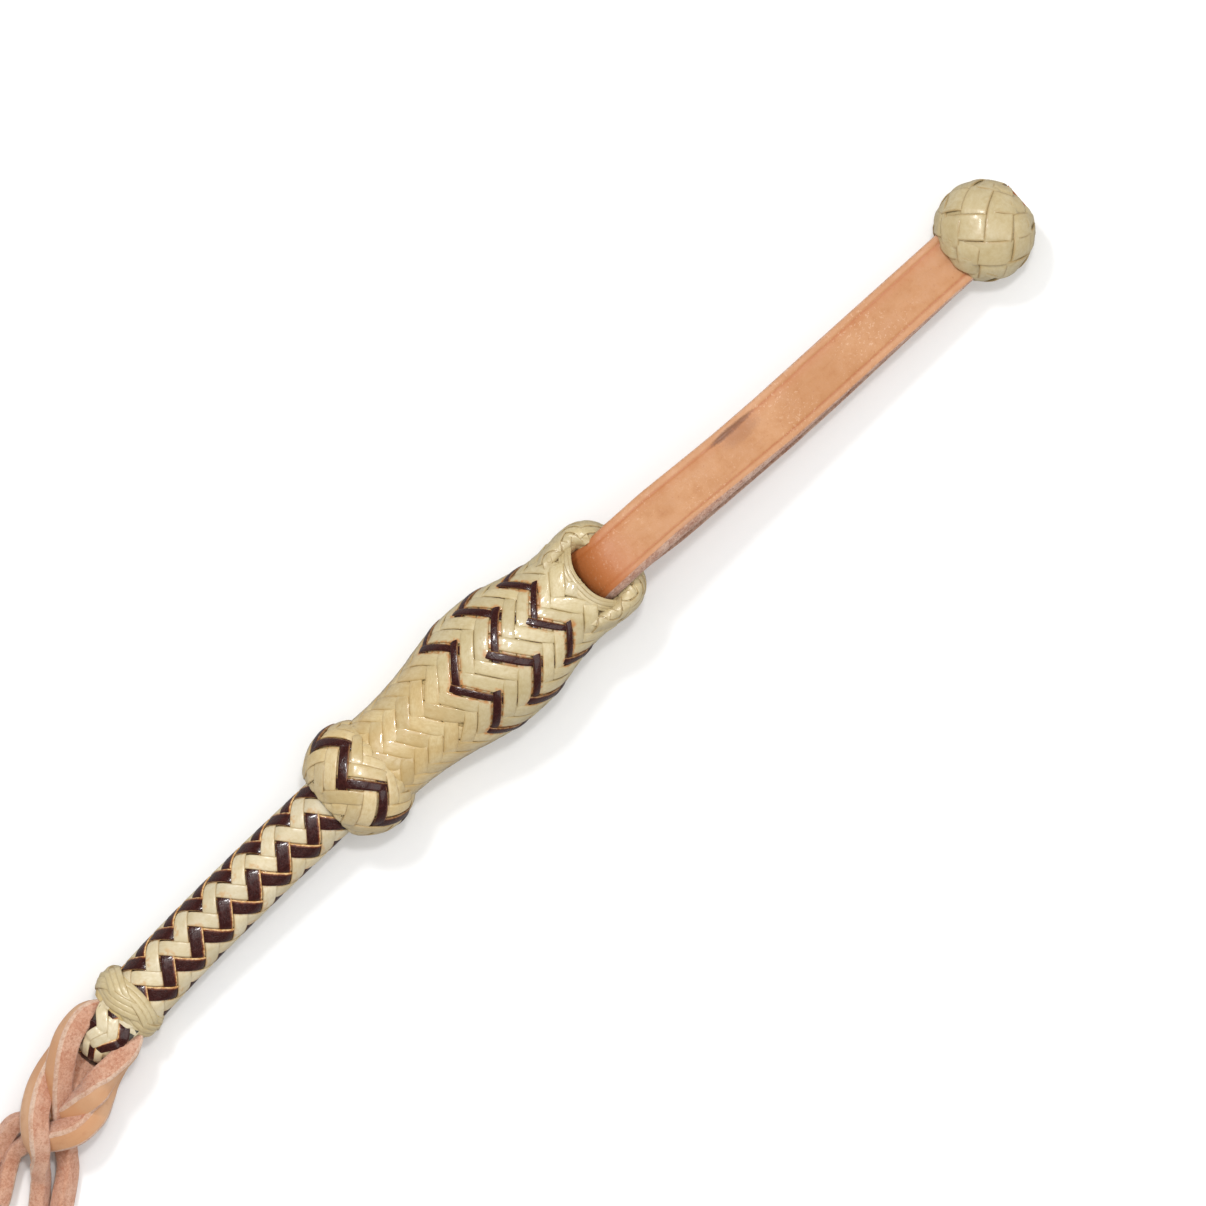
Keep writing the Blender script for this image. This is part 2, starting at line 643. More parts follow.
# ------------------------------------------------------------------ handle
LACE_TAN = 1.376                         # tangent of the laces' angle to the handle's axis
LACE_COS = 0.5878                        # cosine of the same angle
# x, radius of the cover
COVER = [
    (-42, 11.9), (-33, 12.2), (-30, 12.6), (-24, 12.5), (-17, 13.1), (-10, 14.2), (-4, 15.6),
    (2, 16.8), (8, 17.5), (14, 17.5), (19, 16.9), (24, 15.7), (29, 14.4), (34, 13.5),
    (38.8, 13.35), (42, 13.7), (45.5, 13.9)]
# x, half width on y, half height on z, where the cover flattens towards the eye
HEAD = np.array([(34, 13.5, 13.5), (38.8, 13.4, 13.2), (42, 13.9, 12.9),
                 (45.5, 14.2, 12.2), (49, 14.1, 11.2)])
HEAD_POWER = 2.33                        # superellipse exponent of the head
COVER_START, COVER_END = -31.5, 41.9     # x of the natural laces' ends
DARK_START, DARK_END = -2.9, 35.9        # x of the dark laces' ends

cover_x = np.linspace(-45, 50, 1901)
cover_r = moving_average(table(COVER, cover_x), 121)
# how far a lace has turned round the handle, in degrees
cover_turn = np.concatenate([[0], np.cumsum(
    np.degrees(LACE_TAN / ((cover_r[1:] + cover_r[:-1]) / 2)) * np.diff(cover_x))])


def cover_radius(x):
    return np.interp(x, cover_x, cover_r)


def handle_radius(x, angle):
    """outside radius of the cover at x and an angle in radians"""
    half_y = np.interp(x, HEAD[:, 0], HEAD[:, 1])
    half_z = np.interp(x, HEAD[:, 0], HEAD[:, 2])
    across = (np.abs(np.cos(angle)) / half_y) ** HEAD_POWER
    up = (np.abs(np.sin(angle)) / half_z) ** HEAD_POWER
    head = 1 / (across + up + 1e-12) ** (1 / HEAD_POWER)
    share = smooth(33.5, 38.5, x)
    return cover_radius(x) * (1 - share) + head * share


def handle_point(x, degrees, lift):
    """points and normals on the cover, raised by lift"""
    angle = np.radians(degrees)
    r = handle_radius(x, angle) + lift
    step = 0.15
    slope = (handle_radius(x + step, angle) - handle_radius(x - step, angle)) / (2 * step)
    normals = np.cos(angle)[:, None] * HANDLE_Y + np.sin(angle)[:, None] * HANDLE_Z
    normals = normals - slope[:, None] * HANDLE_X
    return on_handle(x, r * np.cos(angle), r * np.sin(angle)), unit(normals)


def handle_rings(stations, sides):
    """elliptical rings at stations (x, half width on y, half height on z)"""
    x, half_y, half_z = np.array(stations, float).T[..., None]
    c, s = circle(sides).T
    return on_handle(x, half_y * c, half_z * s)


def raised(points, over):
    """the points where a lace lies on top"""
    return points[over > 0.2]


def build_handle_cover():
    natural, dark, dark_points = Piece(), Piece(), []
    for hand in (1, -1):                 # the two directions of turn
        start, ref_x = (9, 16.2) if hand == 1 else (39, 14.5)
        ref = np.interp(ref_x, cover_x, cover_turn)
        for k in range(6):
            # a dark lace, then the natural laces on its two sides
            for place in (0, -1, 1):
                if place == 0:
                    x = np.arange(DARK_START, DARK_END, 0.42)
                else:
                    x = np.arange(COVER_START, COVER_END + 0.2, 0.45)
                ends = 1 - smooth(-8.5, -2.5, x) + smooth(33.0, 37.5, x)
                half_pair = 10.75 + 4.25 * ends   # half the angle between two natural laces
                turn = np.interp(x - 2.0 * smooth(-2, 33, x), cover_x, cover_turn)
                beside = 30 + place * half_pair if place else 0
                degrees = start + 60 * k + beside - hand * (turn - ref)
                # where the edges of the columns fall between the crossings
                column = -1.2 - 2.5 * (1 - smooth(-10, -2, x)) - 2.5 * smooth(33, 38, x)
                over = over_under(np.cos(np.radians(6 * (degrees - 9 - column)))) * hand
                lift = 0.17 + (0.15 + 0.10 * smooth(-9, 0, x)) * over
                # the ends are tucked in
                if place == 0:
                    tuck = smooth(1.2, 0, x - x[0]) + smooth(1.2, 0, x[-1] - x)
                    lift = lift + 0.17 - 0.55 * tuck
                else:
                    lift = lift - 0.9 * smooth(1.6, 0, COVER_END - x)
                path, normals = handle_point(x, degrees, lift)
                r = cover_radius(x)
                if place == 0:
                    dark.sweep(path, normals, 0.136 * r, LACE_THICK + 0.18, side=HANDLE_X,
                               wobble=0.12)
                    dark_points.append(raised(path, over))
                else:
                    width = np.radians(2 * half_pair) * r * LACE_COS * 1.03
                    natural.sweep(path, normals, np.minimum(width, 4.25), LACE_THICK,
                                  side=HANDLE_X, wobble=0.05)

    stations = [(x, cover_radius(x) - 0.42, cover_radius(x) - 0.42)
                for x in np.linspace(-41, 33.5, 60)]
    stations += [(38.8, 12.6, 12.4), (41.0, 13.1, 12.2), (42.0, 12.6, 11.6), (42.3, 11.6, 10.6)]
    sides = 64
    rings = handle_rings(stations, sides)
    lace = np.zeros((len(stations) * sides, 3))
    lace[:, 1] = np.repeat([station[0] for station in stations], sides)
    backing = Piece()
    backing.tube(rings, lace)
    backing.make("handle_cover_backing", [UNDER_LAYER], body="handle", slot="core_leather",
                 replaces=("handle_core", "swell_foundation", "lower_button_foundation",
                           "eye_whipping", "eye_loop_core"))
    natural.make("handle_cover_natural_laces", [HANDLE_COVER], body="handle",
                 slot="rawhide_grip", replaces=("handle_braid_cover",),
                 dye=(np.vstack(dark_points), 1.55, 2.35))
    dark.make("swell_dark_laces", [DARK_FINE], body="handle", slot="rawhide_dark",
              replaces=tuple(f"swell_dark_lace_{n}" for n in (1, 2, 3)))


build_handle_cover()

# ------------------------------------------------------------------ lower button
# a woven knot with turned edges at both rims; profile as (x, radius)
BUTTON = spline([
    (-48.7, 10.3), (-47.8, 11.2), (-46.0, 12.7), (-43.8, 14.2), (-40.8, 15.5),
    (-37.2, 15.95), (-33.6, 15.35), (-30.6, 14.15), (-28.9, 13.0)], 200)
button_s = arc_lengths(BUTTON)
button_tangents = unit(np.gradient(BUTTON, axis=0))
BUTTON_LENGTH = button_s[-1]
# the knot's middle lies at x = -36.7; this is its distance from the profile's middle
BUTTON_OFFSET = np.interp(-36.7, BUTTON[:, 0], button_s) - BUTTON_LENGTH / 2
BUTTON_LACES = 9
RIM = 45                                 # the rims are at level -45 and 45
EASE_LEVEL, EASE = 38.2, 4.0             # past this level a lace slows down before the rim
BUTTON_SINK, BUTTON_WAVE = -0.30, 0.34   # of the laces from the profile, and their weave


def zigzag(travel):
    """level of a lace running from rim to rim every 90 degrees, and its sense"""
    phase = (travel / 90.0) % 2
    return np.where(phase < 1, -45 + 90 * phase, 135 - 90 * phase), np.where(phase < 1, 1, -1)


def button_gap(level, r):
    """distance across the laces from one to the next"""
    climb = (BUTTON_LENGTH / 2 - 2 * BUTTON_OFFSET * level / RIM) / RIM
    per_degree = r * math.pi / 180
    return 20 * per_degree * np.sin(np.arctan(climb / per_degree))


def button_point(level, degrees, lift):
    """points, normals and radii on the button"""
    t = np.clip(level / RIM, -1, 1)
    s = BUTTON_LENGTH / 2 * (1 + t) + BUTTON_OFFSET * (1 - t * t)
    x, r = columns_at(s, button_s, BUTTON).T
    normal_r, tangent_r = columns_at(s, button_s, button_tangents).T
    normal_x = -tangent_r
    angle = np.radians(degrees)
    x = x + normal_x * lift
    r = r + normal_r * lift
    normals = (normal_x[:, None] * HANDLE_X + (normal_r * np.cos(angle))[:, None] * HANDLE_Y
               + (normal_r * np.sin(angle))[:, None] * HANDLE_Z)
    return on_handle(x, r * np.cos(angle), r * np.sin(angle)), unit(normals), r


def button_weave(degrees, column, sense):
    return over_under(np.cos(np.radians(6 * (degrees - column)))) * sense


def button_lace(piece, travel, start, column, closed=False):
    """a natural lace, flattened where it turns at the rims"""
    level, sense = zigzag(travel)
    depth = np.abs(level)
    eased = EASE_LEVEL + (1 - np.exp(-(depth - EASE_LEVEL) / EASE)) * EASE
    turned = np.sign(level) * np.where(depth > EASE_LEVEL, eased, depth)
    degrees = start - travel
    over = button_weave(degrees, column, sense) * smooth(44, 39, depth)
    path, normals, r = button_point(turned, degrees, BUTTON_SINK + BUTTON_WAVE * over)
    width = np.clip(button_gap(turned, r) * 1.03, 2.0, 4.4)
    piece.sweep(path, normals, width, LACE_THICK, closed=closed, side=HANDLE_X)


def build_button():
    natural, dark, dark_points = Piece(), Piece(), []
    for i in range(BUTTON_LACES):
        start = 53 + 20 * i
        if i % 3:
            button_lace(natural, np.arange(0, 360, 1.5), start, column=3, closed=True)
            continue
        # dark over the middle ring only: each dark run is tucked under at both ends
        for run in range(0, 360, 90):
            travel = np.arange(run, run + 90, 1.5)
            level, sense = zigzag(travel)
            low, high = (-25, 33) if sense[0] == 1 else (-33, 25)
            kept = (level >= low) & (level <= high)
            level, degrees = level[kept], start - travel[kept]
            over = button_weave(degrees, 9, sense[kept])
            lift = BUTTON_SINK + BUTTON_WAVE * over + 0.16
            path, normals, r = button_point(level, degrees, lift)
            dark.sweep(path, normals, button_gap(level, r) * 0.77, LACE_THICK + 0.22,
                       side=HANDLE_X, wobble=0.08)
            dark_points.append(raised(path, over))
        # natural lace round each rim, between the dark runs
        for turn in (0, 90, 180, 270):
            button_lace(natural, np.arange(turn - 17, turn + 17 + 0.1, 1.2), start, column=9)

    outer = [(x, r - 0.95) for x, r in np.vstack([BUTTON[::8], BUTTON[-1:]])]
    section = outer + [(x, max(9.75, r - 1.4)) for x, r in outer[::-1]]
    backing = Piece()
    backing.tube(handle_rings([(x, r, r) for x, r in section], 64), closed=True)
    backing.make("lower_button_backing", [UNDER_LAYER], body="handle", slot="core_leather")
    natural.make("lower_button_natural_laces", [GRIP], body="handle", slot="rawhide_grip",
                 replaces=("lower_button_knot",), dye=(np.vstack(dark_points), 1.6, 2.4))
    dark.make("lower_button_dark_laces", [DARK_FINE], body="handle", slot="rawhide_dark",
              replaces=("lower_button_dark_lace",))


build_button()

# ------------------------------------------------------------------ eye
# one side of the eye's centre line as (x, y); the other side mirrors it
EYE_SIDE = [(37.5, 9.9), (40.5, 10.6), (43.5, 11.2), (46.5, 11.35),
            (49.3, 10.9), (51.4, 9.3), (52.3, 7.0), (BAR_X, 3.6)]
EYE_COUNT = 221
EYE_POWER = 2.15                         # superellipse exponent of the section
EYE_LACES = 12
eye_path = spline(EYE_SIDE + [(BAR_X, 0.0)] + [(x, -y) for x, y in EYE_SIDE[::-1]], EYE_COUNT)
eye_out = outward_normals(eye_path, (46.0, 0.0))


def eye_half_size(by_y, by_x, switch_x):
    """half size of the section: a table over |y| near the bar, over x short of switch_x"""
    x, y = eye_path.T
    return moving_average(np.where(x < switch_x, table(by_x, x), table(by_y, np.abs(y))), 15)


eye_half_flat = eye_half_size(           # in the plane of the eye
    by_y=[(0, 5.25), (3.6, 5.2), (7.0, 4.7), (9.3, 3.8)],
    by_x=[(37.5, 2.6), (43.5, 2.75), (46.5, 2.85), (49.3, 3.1), (51.2, 3.75)], switch_x=51.2)
eye_half_z = eye_half_size(
    by_y=[(0, 5.25), (3.6, 5.25), (7.4, 5.7), (8.6, 6.9), (9.6, 8.0), (10.6, 8.7)],
    by_x=[(37.5, 10.4), (41, 10.6), (44, 10.0), (47, 8.8), (50.2, 7.2)], switch_x=50.2)


def eye_outline(i):
    """the section at path sample i as (in plane, z), and its arc lengths"""
    t = np.linspace(0, 2 * math.pi, 97)
    waves = np.stack([np.cos(t), np.sin(t)], 1)
    outline = np.sign(waves) * np.abs(waves) ** (2 / EYE_POWER)
    outline = outline * np.array([eye_half_flat[i], eye_half_z[i]])
    return outline, arc_lengths(outline)


def eye_point(i, turn, lift):
    """point and normal on the section at sample i, after a share of its girth"""
    outline, length = eye_outline(i)
    flat, z = columns_at((turn % 1.0) * length[-1], length, outline)
    half_flat, half_z = eye_half_flat[i], eye_half_z[i]
    normal_flat = np.sign(flat) * (abs(flat) / half_flat) ** (EYE_POWER - 1) / half_flat
    normal_z = np.sign(z) * (abs(z) / half_z) ** (EYE_POWER - 1) / half_z
    size = math.hypot(normal_flat, normal_z) + 1e-9
    normal_flat, normal_z = normal_flat / size, normal_z / size
    out_x, out_y = eye_out[i]
    x, y = eye_path[i] + eye_out[i] * (flat + normal_flat * lift)
    normal = (HANDLE_X * (out_x * normal_flat) + HANDLE_Y * (out_y * normal_flat)
              + HANDLE_Z * normal_z)
    return on_handle(x, y, z + normal_z * lift), normal


def build_eye():
    eye = Piece()
    girth = np.array([eye_outline(i)[1][-1] for i in range(EYE_COUNT)])
    # turns along the path: laces near 45 degrees whatever the girth
    steps = np.diff(arc_lengths(eye_path)) / ((girth[1:] + girth[:-1]) / 2) * 0.95
    turns = np.concatenate([[0], np.cumsum(steps)])
    turns -= turns[EYE_COUNT // 2]
    width = np.minimum(girth / EYE_LACES * 0.74, 2.9) * 1.03
    for hand in (1, -1):
        over = over_under(np.cos(math.pi * EYE_LACES * turns), 2.6) * hand
        for k in range(EYE_LACES):
            turn = (k + 0.25) / EYE_LACES + hand * turns
            pairs = [eye_point(i, turn[i], 0.12 + 0.15 * over[i]) for i in range(EYE_COUNT)]
            path, normals = (np.array(part) for part in zip(*pairs))
            eye.sweep(path, normals, width, 0.5, wobble=0.04)
    # under layer beneath the laces
    sides = 40
    eye.tube(np.array([[eye_point(i, j / sides, -0.35)[0] for j in range(sides)]
                       for i in range(0, EYE_COUNT, 4)]), mats=1)
    # thin laces laid along the lip of the opening, on both faces
    lip = 10.6                           # half the length of the lip
    _, head_y, head_z = HEAD[2]
    y = np.linspace(-lip, lip, 61)
    reach = np.abs(y) / lip
    for face in (1, -1):
        for j in range(4):
            x = 42.75 + 4.7 * reach ** 2.6 - 0.98 * j
            flank = np.minimum(0.995, np.abs(y) / head_y)
            z = head_z * (1 - flank ** HEAD_POWER) ** (1 / HEAD_POWER)
            drop = (0.75 if j == 0 else 0.05) + 2.2 * reach ** 5
            path = on_handle(x, y, face * (z + 0.32 - drop + 0.10 * (j % 2)))
            tilt = 0.85 if j == 0 else 0.12
            normals = unit(HANDLE_X * tilt + face * HANDLE_Z + (y / 26)[:, None] * HANDLE_Y)
            eye.sweep(path, normals, 1.16, 0.52, side=HANDLE_X, wobble=0.05)
    eye.make("eye_braid", [KNOT, UNDER_LAYER], body="handle", slot="rawhide_natural",
             replaces=("eye_braid_cover",))


build_eye()

# ------------------------------------------------------------------ body braid
# centre line of the body, (x, y, z) in the drawing
BODY_LINE = np.array([
    (-45, -0.2, 15.8), (-49, -0.4, 15.6), (-60, -0.9, 15.0), (-72, -1.4, 14.4),
    (-84, -2.1, 13.7), (-96, -2.9, 13.0), (-108, -3.9, 12.35), (-120, -5.2, 11.7),
    (-131, -6.8, 11.1), (-141, -8.6, 10.6)])
BODY_RADIUS = 8.14
CROSSING = 2.743                         # distance along the body from crossing to crossing
body_line = spline(BODY_LINE + DRAWING, 601)
body_length = arc_lengths(body_line)
body_x = -unit(np.gradient(body_line, axis=0))       # towards the handle
body_y = unit(np.stack([-body_x[:, 1], body_x[:, 0], np.zeros(len(body_x))], 1))
body_z = np.cross(body_x, body_y)


def body_s(x):
    """distance along the body at a drawing x"""
    return np.interp(-(x + DRAWING[0]), -body_line[:, 0], body_length)


def body_frame(s):
    """centre and the three axes at s; past the ends the line runs on straight"""
    s = np.asarray(s, float)
    past = s - np.clip(s, 0, body_length[-1])
    centre, *axes = (columns_at(s, body_length, rows)
                     for rows in (body_line, body_x, body_y, body_z))
    x, y, z = (unit(axis) for axis in axes)
    return centre - x * past[..., None], x, y, z


def build_body():
    s_ref = body_s(-62.2)
    crossings = np.arange((s_ref - body_s(-130.3)) / CROSSING,
                          (s_ref - body_s(-45.2)) / CROSSING, 0.14)
    s = s_ref - crossings * CROSSING
    centre, _, y, z = body_frame(s)
    laces, dark_points = [], []
    for i in range(8):
        for hand, hand_name in ((1, "right"), (-1, "left")):
            light = i % 2 == (0 if hand == 1 else 1)
            normals = radial(y, z, np.radians(67.5 + 45 * i + hand * 22.5 * crossings))
            over = over_under(np.cos(math.pi * (crossings - 0.5) / 2), 2.8) * hand
            sink = 1.15 * smooth(body_s(-126.3), body_s(-130.5), s)
            path = centre + normals * (BODY_RADIUS + 0.34 * over - sink)[:, None]
            laces.append((f"{hand_name}_{'natural' if light else 'dark'}_{i // 2 + 1}",
                          light, path, normals))
            if not light:
                dark_points.append(raised(path, over))
    start, end = body_frame(np.array([body_s(-47.5), body_s(-84.0)]))[0]
    blend = ("body_root", "body", start, end)
    dye = (np.vstack(dark_points), 2.1, 2.75)
    for name, light, path, normals in laces:
        lace = Piece()
        lace.sweep(path, normals, 4.08 if light else 3.98, 0.55, side=HANDLE_X, wobble=0.03)
        lace.make(f"body_lace_{name}", [NATURAL if light else DARK], blend=blend,
                  slot="rawhide_natural" if light else "rawhide_dark",
                  replaces=(f"body_strand_{name}",), dye=dye if light else None)
    # flexible core, seen only in the gaps between the laces
    centre, _, _, z = body_frame(np.linspace(body_s(-46), body_s(-128.5), 40))
    core = Piece()
    core.sweep(centre, z, 2 * 7.35, 2 * 7.35, profile=circle(28))
    core.make("body_core_flexible", [BACKING], blend=blend, slot="core_leather",
              replaces=("body_core", "body_core_root"))


build_body()

# ------------------------------------------------------------------ end loop
# the laces of the body turned round and back; local to a point inside the loop
tip_centre, *TIP_AXES = body_frame(body_s(-134.5))
TIP_X, TIP_Y, TIP_Z = TIP_AXES


def on_tip(x, y, z):
    return placed(tip_centre, TIP_AXES, x, y, z)


# upper half of the loop in (x, z): from the ring knot over the top to the end
LOOP_UPPER = [(9.0, 7.1), (5.5, 8.0), (1.5, 8.45), (-2.5, 8.0), (-5.8, 6.1), (-7.9, 3.2)]
LOOP_LACES = 6
LOOP_DARK = (1, 4)
LOOP_PERIOD = 29.0                       # length of one full zigzag
loop_path = spline(LOOP_UPPER + [(-8.6, 0.0)] + [(x, -z) for x, z in LOOP_UPPER[::-1]], 241)
loop_s = arc_lengths(loop_path)
loop_out = outward_normals(loop_path)


def loop_half(s):
    """half width of the loop's braid: wide at the ring knot, narrow round the end"""
    return 4.1 + 3.3 * smooth(6.0, 20.0, np.abs(s - loop_s[-1] / 2))


def loop_point(s, across, lift):
    x, z = columns_at(s, loop_s, loop_path).T
    out_x, out_z = columns_at(s, loop_s, loop_out).T
    half = loop_half(s)
    # the edges fall away
    rise = lift - 1.9 * np.abs(across) ** 2.6 * smooth(0, 6, half - 1)
    path = on_tip(x + out_x * rise, across * half, z + out_z * rise)
    normals = out_x[:, None] * TIP_X + out_z[:, None] * TIP_Z + (across * 0.62)[:, None] * TIP_Y
    return path, unit(normals)


def build_end_loop():
    natural, dark = Piece(), Piece()
    s = np.arange(0.2, loop_s[-1] - 0.2, 0.35)
    half = loop_half(s)
    gap = LOOP_PERIOD / LOOP_LACES * np.sin(np.arctan(4 * half / LOOP_PERIOD))
    width = np.minimum(gap * 0.98, 3.5)
    limit = 1 - 0.42 * width / half      # a lace turns before the edge
    wave = over_under(np.cos(math.pi * (2 * LOOP_LACES * s / LOOP_PERIOD - 0.5) / 2), 2.4)
    for k in range(LOOP_LACES):
        phase = ((s / LOOP_PERIOD + k / LOOP_LACES + 0.06) * 2) % 2
        swing = np.where(phase < 1, -1 + 2 * phase, 3 - 2 * phase)
        reach = np.abs(swing)
        across = np.sign(swing) * (reach * limit - 0.09 * smooth(0.80, 1.0, reach))
        over = wave * np.where(phase < 1, 1, -1) * smooth(1.0, 0.86, reach)
        path, normals = loop_point(s, across, 0.15 + 0.34 * over)
        if k in LOOP_DARK:
            dark.sweep(path, normals, width, 0.62, side=TIP_X, wobble=0.05)
        else:
            # dyed where it turns round the end
            stain = 2.0 * smooth(5.2, 4.4, np.abs(s - loop_s[-1] / 2))
            natural.sweep(path, normals, width, 0.62, side=TIP_X, wobble=0.05, stain=stain)
    natural.make("end_loop_natural_laces", [NATURAL], body="body", slot="rawhide_natural",
                 replaces=("end_loop_braid",))
    dark.make("end_loop_dark_laces", [DARK], body="body", slot="rawhide_dark")

    s = np.linspace(0.4, loop_s[-1] - 0.4, 90)
    path, normals = loop_point(s, np.zeros_like(s), -1.15)
    ring = circle(20)
    core = Piece()
    core.sweep(path, normals, 2 * (loop_half(s) - 0.9), 2.1,
               profile=np.sign(ring) * np.abs(ring) ** 0.8)
    core.make("end_loop_core", [LOOP_INSIDE], body="body", slot="core_leather")


build_end_loop()


# ------------------------------------------------------------------ ring knot
def build_ring_knot():
    leads, bights, lane_pitch = 3, 5, 1.55
    ring_s = body_s(-123.9)
    q = np.linspace(0, 2 * math.pi, 900, endpoint=False)
    angle = leads * q + 0.35
    axial = 2.45 * np.cos(bights * q)
    over = np.tanh(2.2 * np.sin(bights * (leads - 1) * q)) * 0.28
    tilt = 0.9 * np.cos(angle - 0.4)
    centre, x, y, z = body_frame(ring_s - (axial + tilt))
    out = radial(y, z, angle)
    middle = centre + out * (10.05 - 0.25 * (axial / 2.4) ** 2)[:, None] + y * 0.9
    normals = unit(out + x * (axial * 0.10)[:, None])
    tangents = unit(np.roll(middle, -1, 0) - np.roll(middle, 1, 0))
    across = unit(np.cross(normals, tangents))
    knot = Piece()
    for lane in (-1, 0, 1):
        lane_axial = axial + lane * lane_pitch       # distance from the ring's middle
        lift = over - 0.055 * np.maximum(0, np.abs(lane_axial) - 1.0) ** 2
        knot.sweep(middle + across * (lane * lane_pitch) + normals * lift[:, None],
                   unit(normals + x * (lane_axial * 0.09)[:, None]), 1.78, 0.95,
                   closed=True, side=TIP_X)
    centre, _, y, z = body_frame(ring_s + np.linspace(-4.6, 4.6, 9))
    core = 2 * np.array([8.6, 9.2, 9.5, 9.62, 9.65, 9.62, 9.5, 9.2, 8.6])
    knot.sweep(centre + y * 0.7, z, core, core, profile=circle(28), mats=1)
    knot.make("ring_knot_laces", [KNOT, UNDER_LAYER], body="body", slot="rawhide_natural",
              replaces=("ring_knot",))


build_ring_knot()

# ------------------------------------------------------------------ wrist strap
# one length folded round the eye; places are in the drawing
BAR = BAR_IN_FRAME - DRAWING
KNOB = np.array([187.0, 0.9, 14.2])      # centre of the wrist knob
STRAP_HALF_WIDTH, STRAP_HALF_THICK = 7.9, 1.5
KNOB_HALF_WIDTH = 4.7                    # half width of the strap inside the knob
FOLD_RADIUS = 8.4                        # of the strap's middle round the bar
PLY_OFFSET = 1.72                        # of each ply from the middle, near the knob
STRAP_COUNT = 300
# across and through, -1 to 1: grooves inside each edge, rounded rims
STRAP_PROFILE = np.array([
    (-1.0, -0.55), (-1.0, 0.35), (-0.985, 0.72), (-0.95, 0.93), (-0.90, 1.0), (-0.80, 1.0),
    (-0.755, 0.975), (-0.705, 0.86), (-0.655, 0.975), (-0.60, 1.02), (-0.35, 1.03),
    (0.0, 1.035), (0.35, 1.03), (0.60, 1.02), (0.655, 0.975), (0.705, 0.86), (0.755, 0.975),
    (0.80, 1.0), (0.90, 1.0), (0.95, 0.93), (0.985, 0.72), (1.0, 0.35), (1.0, -0.55),
    (0.96, -0.92), (0.6, -1.0), (0.0, -1.0), (-0.6, -1.0), (-0.96, -0.92)])
# slot of each side of the profile: grain 0, cut edges 1, underside 2
STRAP_SIDES = [1] * 3 + [0] * 17 + [1] * 3 + [2] * 4 + [1]


def ply_z(x, side):
    share = np.clip((x - BAR[0]) / (KNOB[0] - 13 - BAR[0]), 0, 1)
    middle = BAR[2] + (KNOB[2] - BAR[2]) * share
    return middle + side * (PLY_OFFSET + (FOLD_RADIUS - PLY_OFFSET) * (1 - share) ** 1.35)


def strap_y(x):
    """the strap's sideways bend"""
    bend = -0.2 - 0.4 * np.sin(np.pi * (x - 70) / 80)
    to_knob = -0.6 + 1.5 * (x - 110) / (KNOB[0] - 110)
    return np.where(x < 70, -0.2, np.where(x < 110, bend, to_knob))


def build_wrist_strap():
    # path in (x, z): upper ply towards the bar, round it, lower ply back
    x = np.arange(KNOB[0] + 12.7, BAR[0] + 1.5, -1.6)
    fold = [(BAR[0] + FOLD_RADIUS * math.cos(t), BAR[2] + FOLD_RADIUS * math.sin(t))
            for t in np.linspace(math.pi / 2, 3 * math.pi / 2, 32)]
    path = np.vstack([np.stack([x, ply_z(x, 1)], 1), fold,
                      np.stack([x[::-1], ply_z(x[::-1], -1)], 1)])
    along = np.linspace(0, arc_lengths(path)[-1], STRAP_COUNT)
    path = evenly(path, STRAP_COUNT)
    for _ in range(6):
        path = relaxed(path)
    tangents = unit(np.gradient(path, axis=0))
    out_x, out_z = tangents[:, 1], -tangents[:, 0]   # outwards from between the plies
    # slow drift of the width: a random walk brought back to zero and smoothed
    drift = np.cumsum(rng.randn(STRAP_COUNT))
    drift = moving_average(drift - np.linspace(drift[0], drift[-1], STRAP_COUNT), 41)
    drift /= np.abs(drift).max()

    x, z = path.T
    upper = smooth(-0.1, 0.9, out_z)     # 1 on the upper ply
    near_eye = smooth(100, 64, x)
    roll = math.radians(15) * smooth(128, 60, x) * upper
    roll = roll + math.radians(5) * smooth(130, 150, x) * upper * smooth(182, 165, x)
    slip = np.where(out_z < -0.2, -0.75, 0.15)
    y = strap_y(x) + slip * smooth(58, 72, x) * smooth(175, 120, x) + 0.25 * near_eye
    half = STRAP_HALF_WIDTH * (1 + 0.012 * drift + 0.055 * near_eye)
    half = half + (KNOB_HALF_WIDTH - half) * smooth(KNOB[0] - 7, KNOB[0] + 9, x)
    # cupped where it is pulled down through the eye
    cup = 1.15 * smooth(BAR[0] + 6, BAR[0] - 5, x)
    # the -y edge is skived so that its flesh shows
    bevel = 0.95 * smooth(132, 70, x) * upper / half
    across, through = STRAP_PROFILE.T
    skived = np.where(through > 0.5, 1.0, np.where(through > 0, 0.6, 0.0))
    skived = skived * np.clip((-0.45 - across) / 0.5, 0, 1)
    wide = (across + bevel[:, None] * skived) * half[:, None]
    deep = through * STRAP_HALF_THICK - cup[:, None] * across ** 2
    cos, sin = np.cos(roll)[:, None], np.sin(roll)[:, None]
    lift = deep * cos - wide * sin
    rings = np.stack([x[:, None] + out_x[:, None] * lift,
                      y[:, None] + wide * cos + deep * sin,
                      z[:, None] + out_z[:, None] * lift], -1) + DRAWING
    sides = len(STRAP_PROFILE)
    lace = np.stack([np.tile(across, STRAP_COUNT), np.repeat(along, sides),
                     np.full(STRAP_COUNT * sides, 0.4)], 1)
    stain = smooth(BAR[0] + 13, BAR[0] - 6, x) + smooth(KNOB[0] + 6, KNOB[0] + 10, x)
    strap = Piece()
    strap.tube(rings, lace, STRAP_SIDES, stain=np.repeat(stain, sides))
    bend = joint_at("wrist_strap_bend")
    reach = np.array([22, 0, 0])
    strap.make("wrist_strap", [STRAP, STRAP_EDGE, STRAP_EDGE], slot="strap_leather",
               blend=("wrist_strap_lower", "wrist_strap_upper", bend - reach, bend + reach),
               replaces=("wrist_strap_fold", "wrist_strap_front_ply", "wrist_strap_back_ply"))


build_wrist_strap()


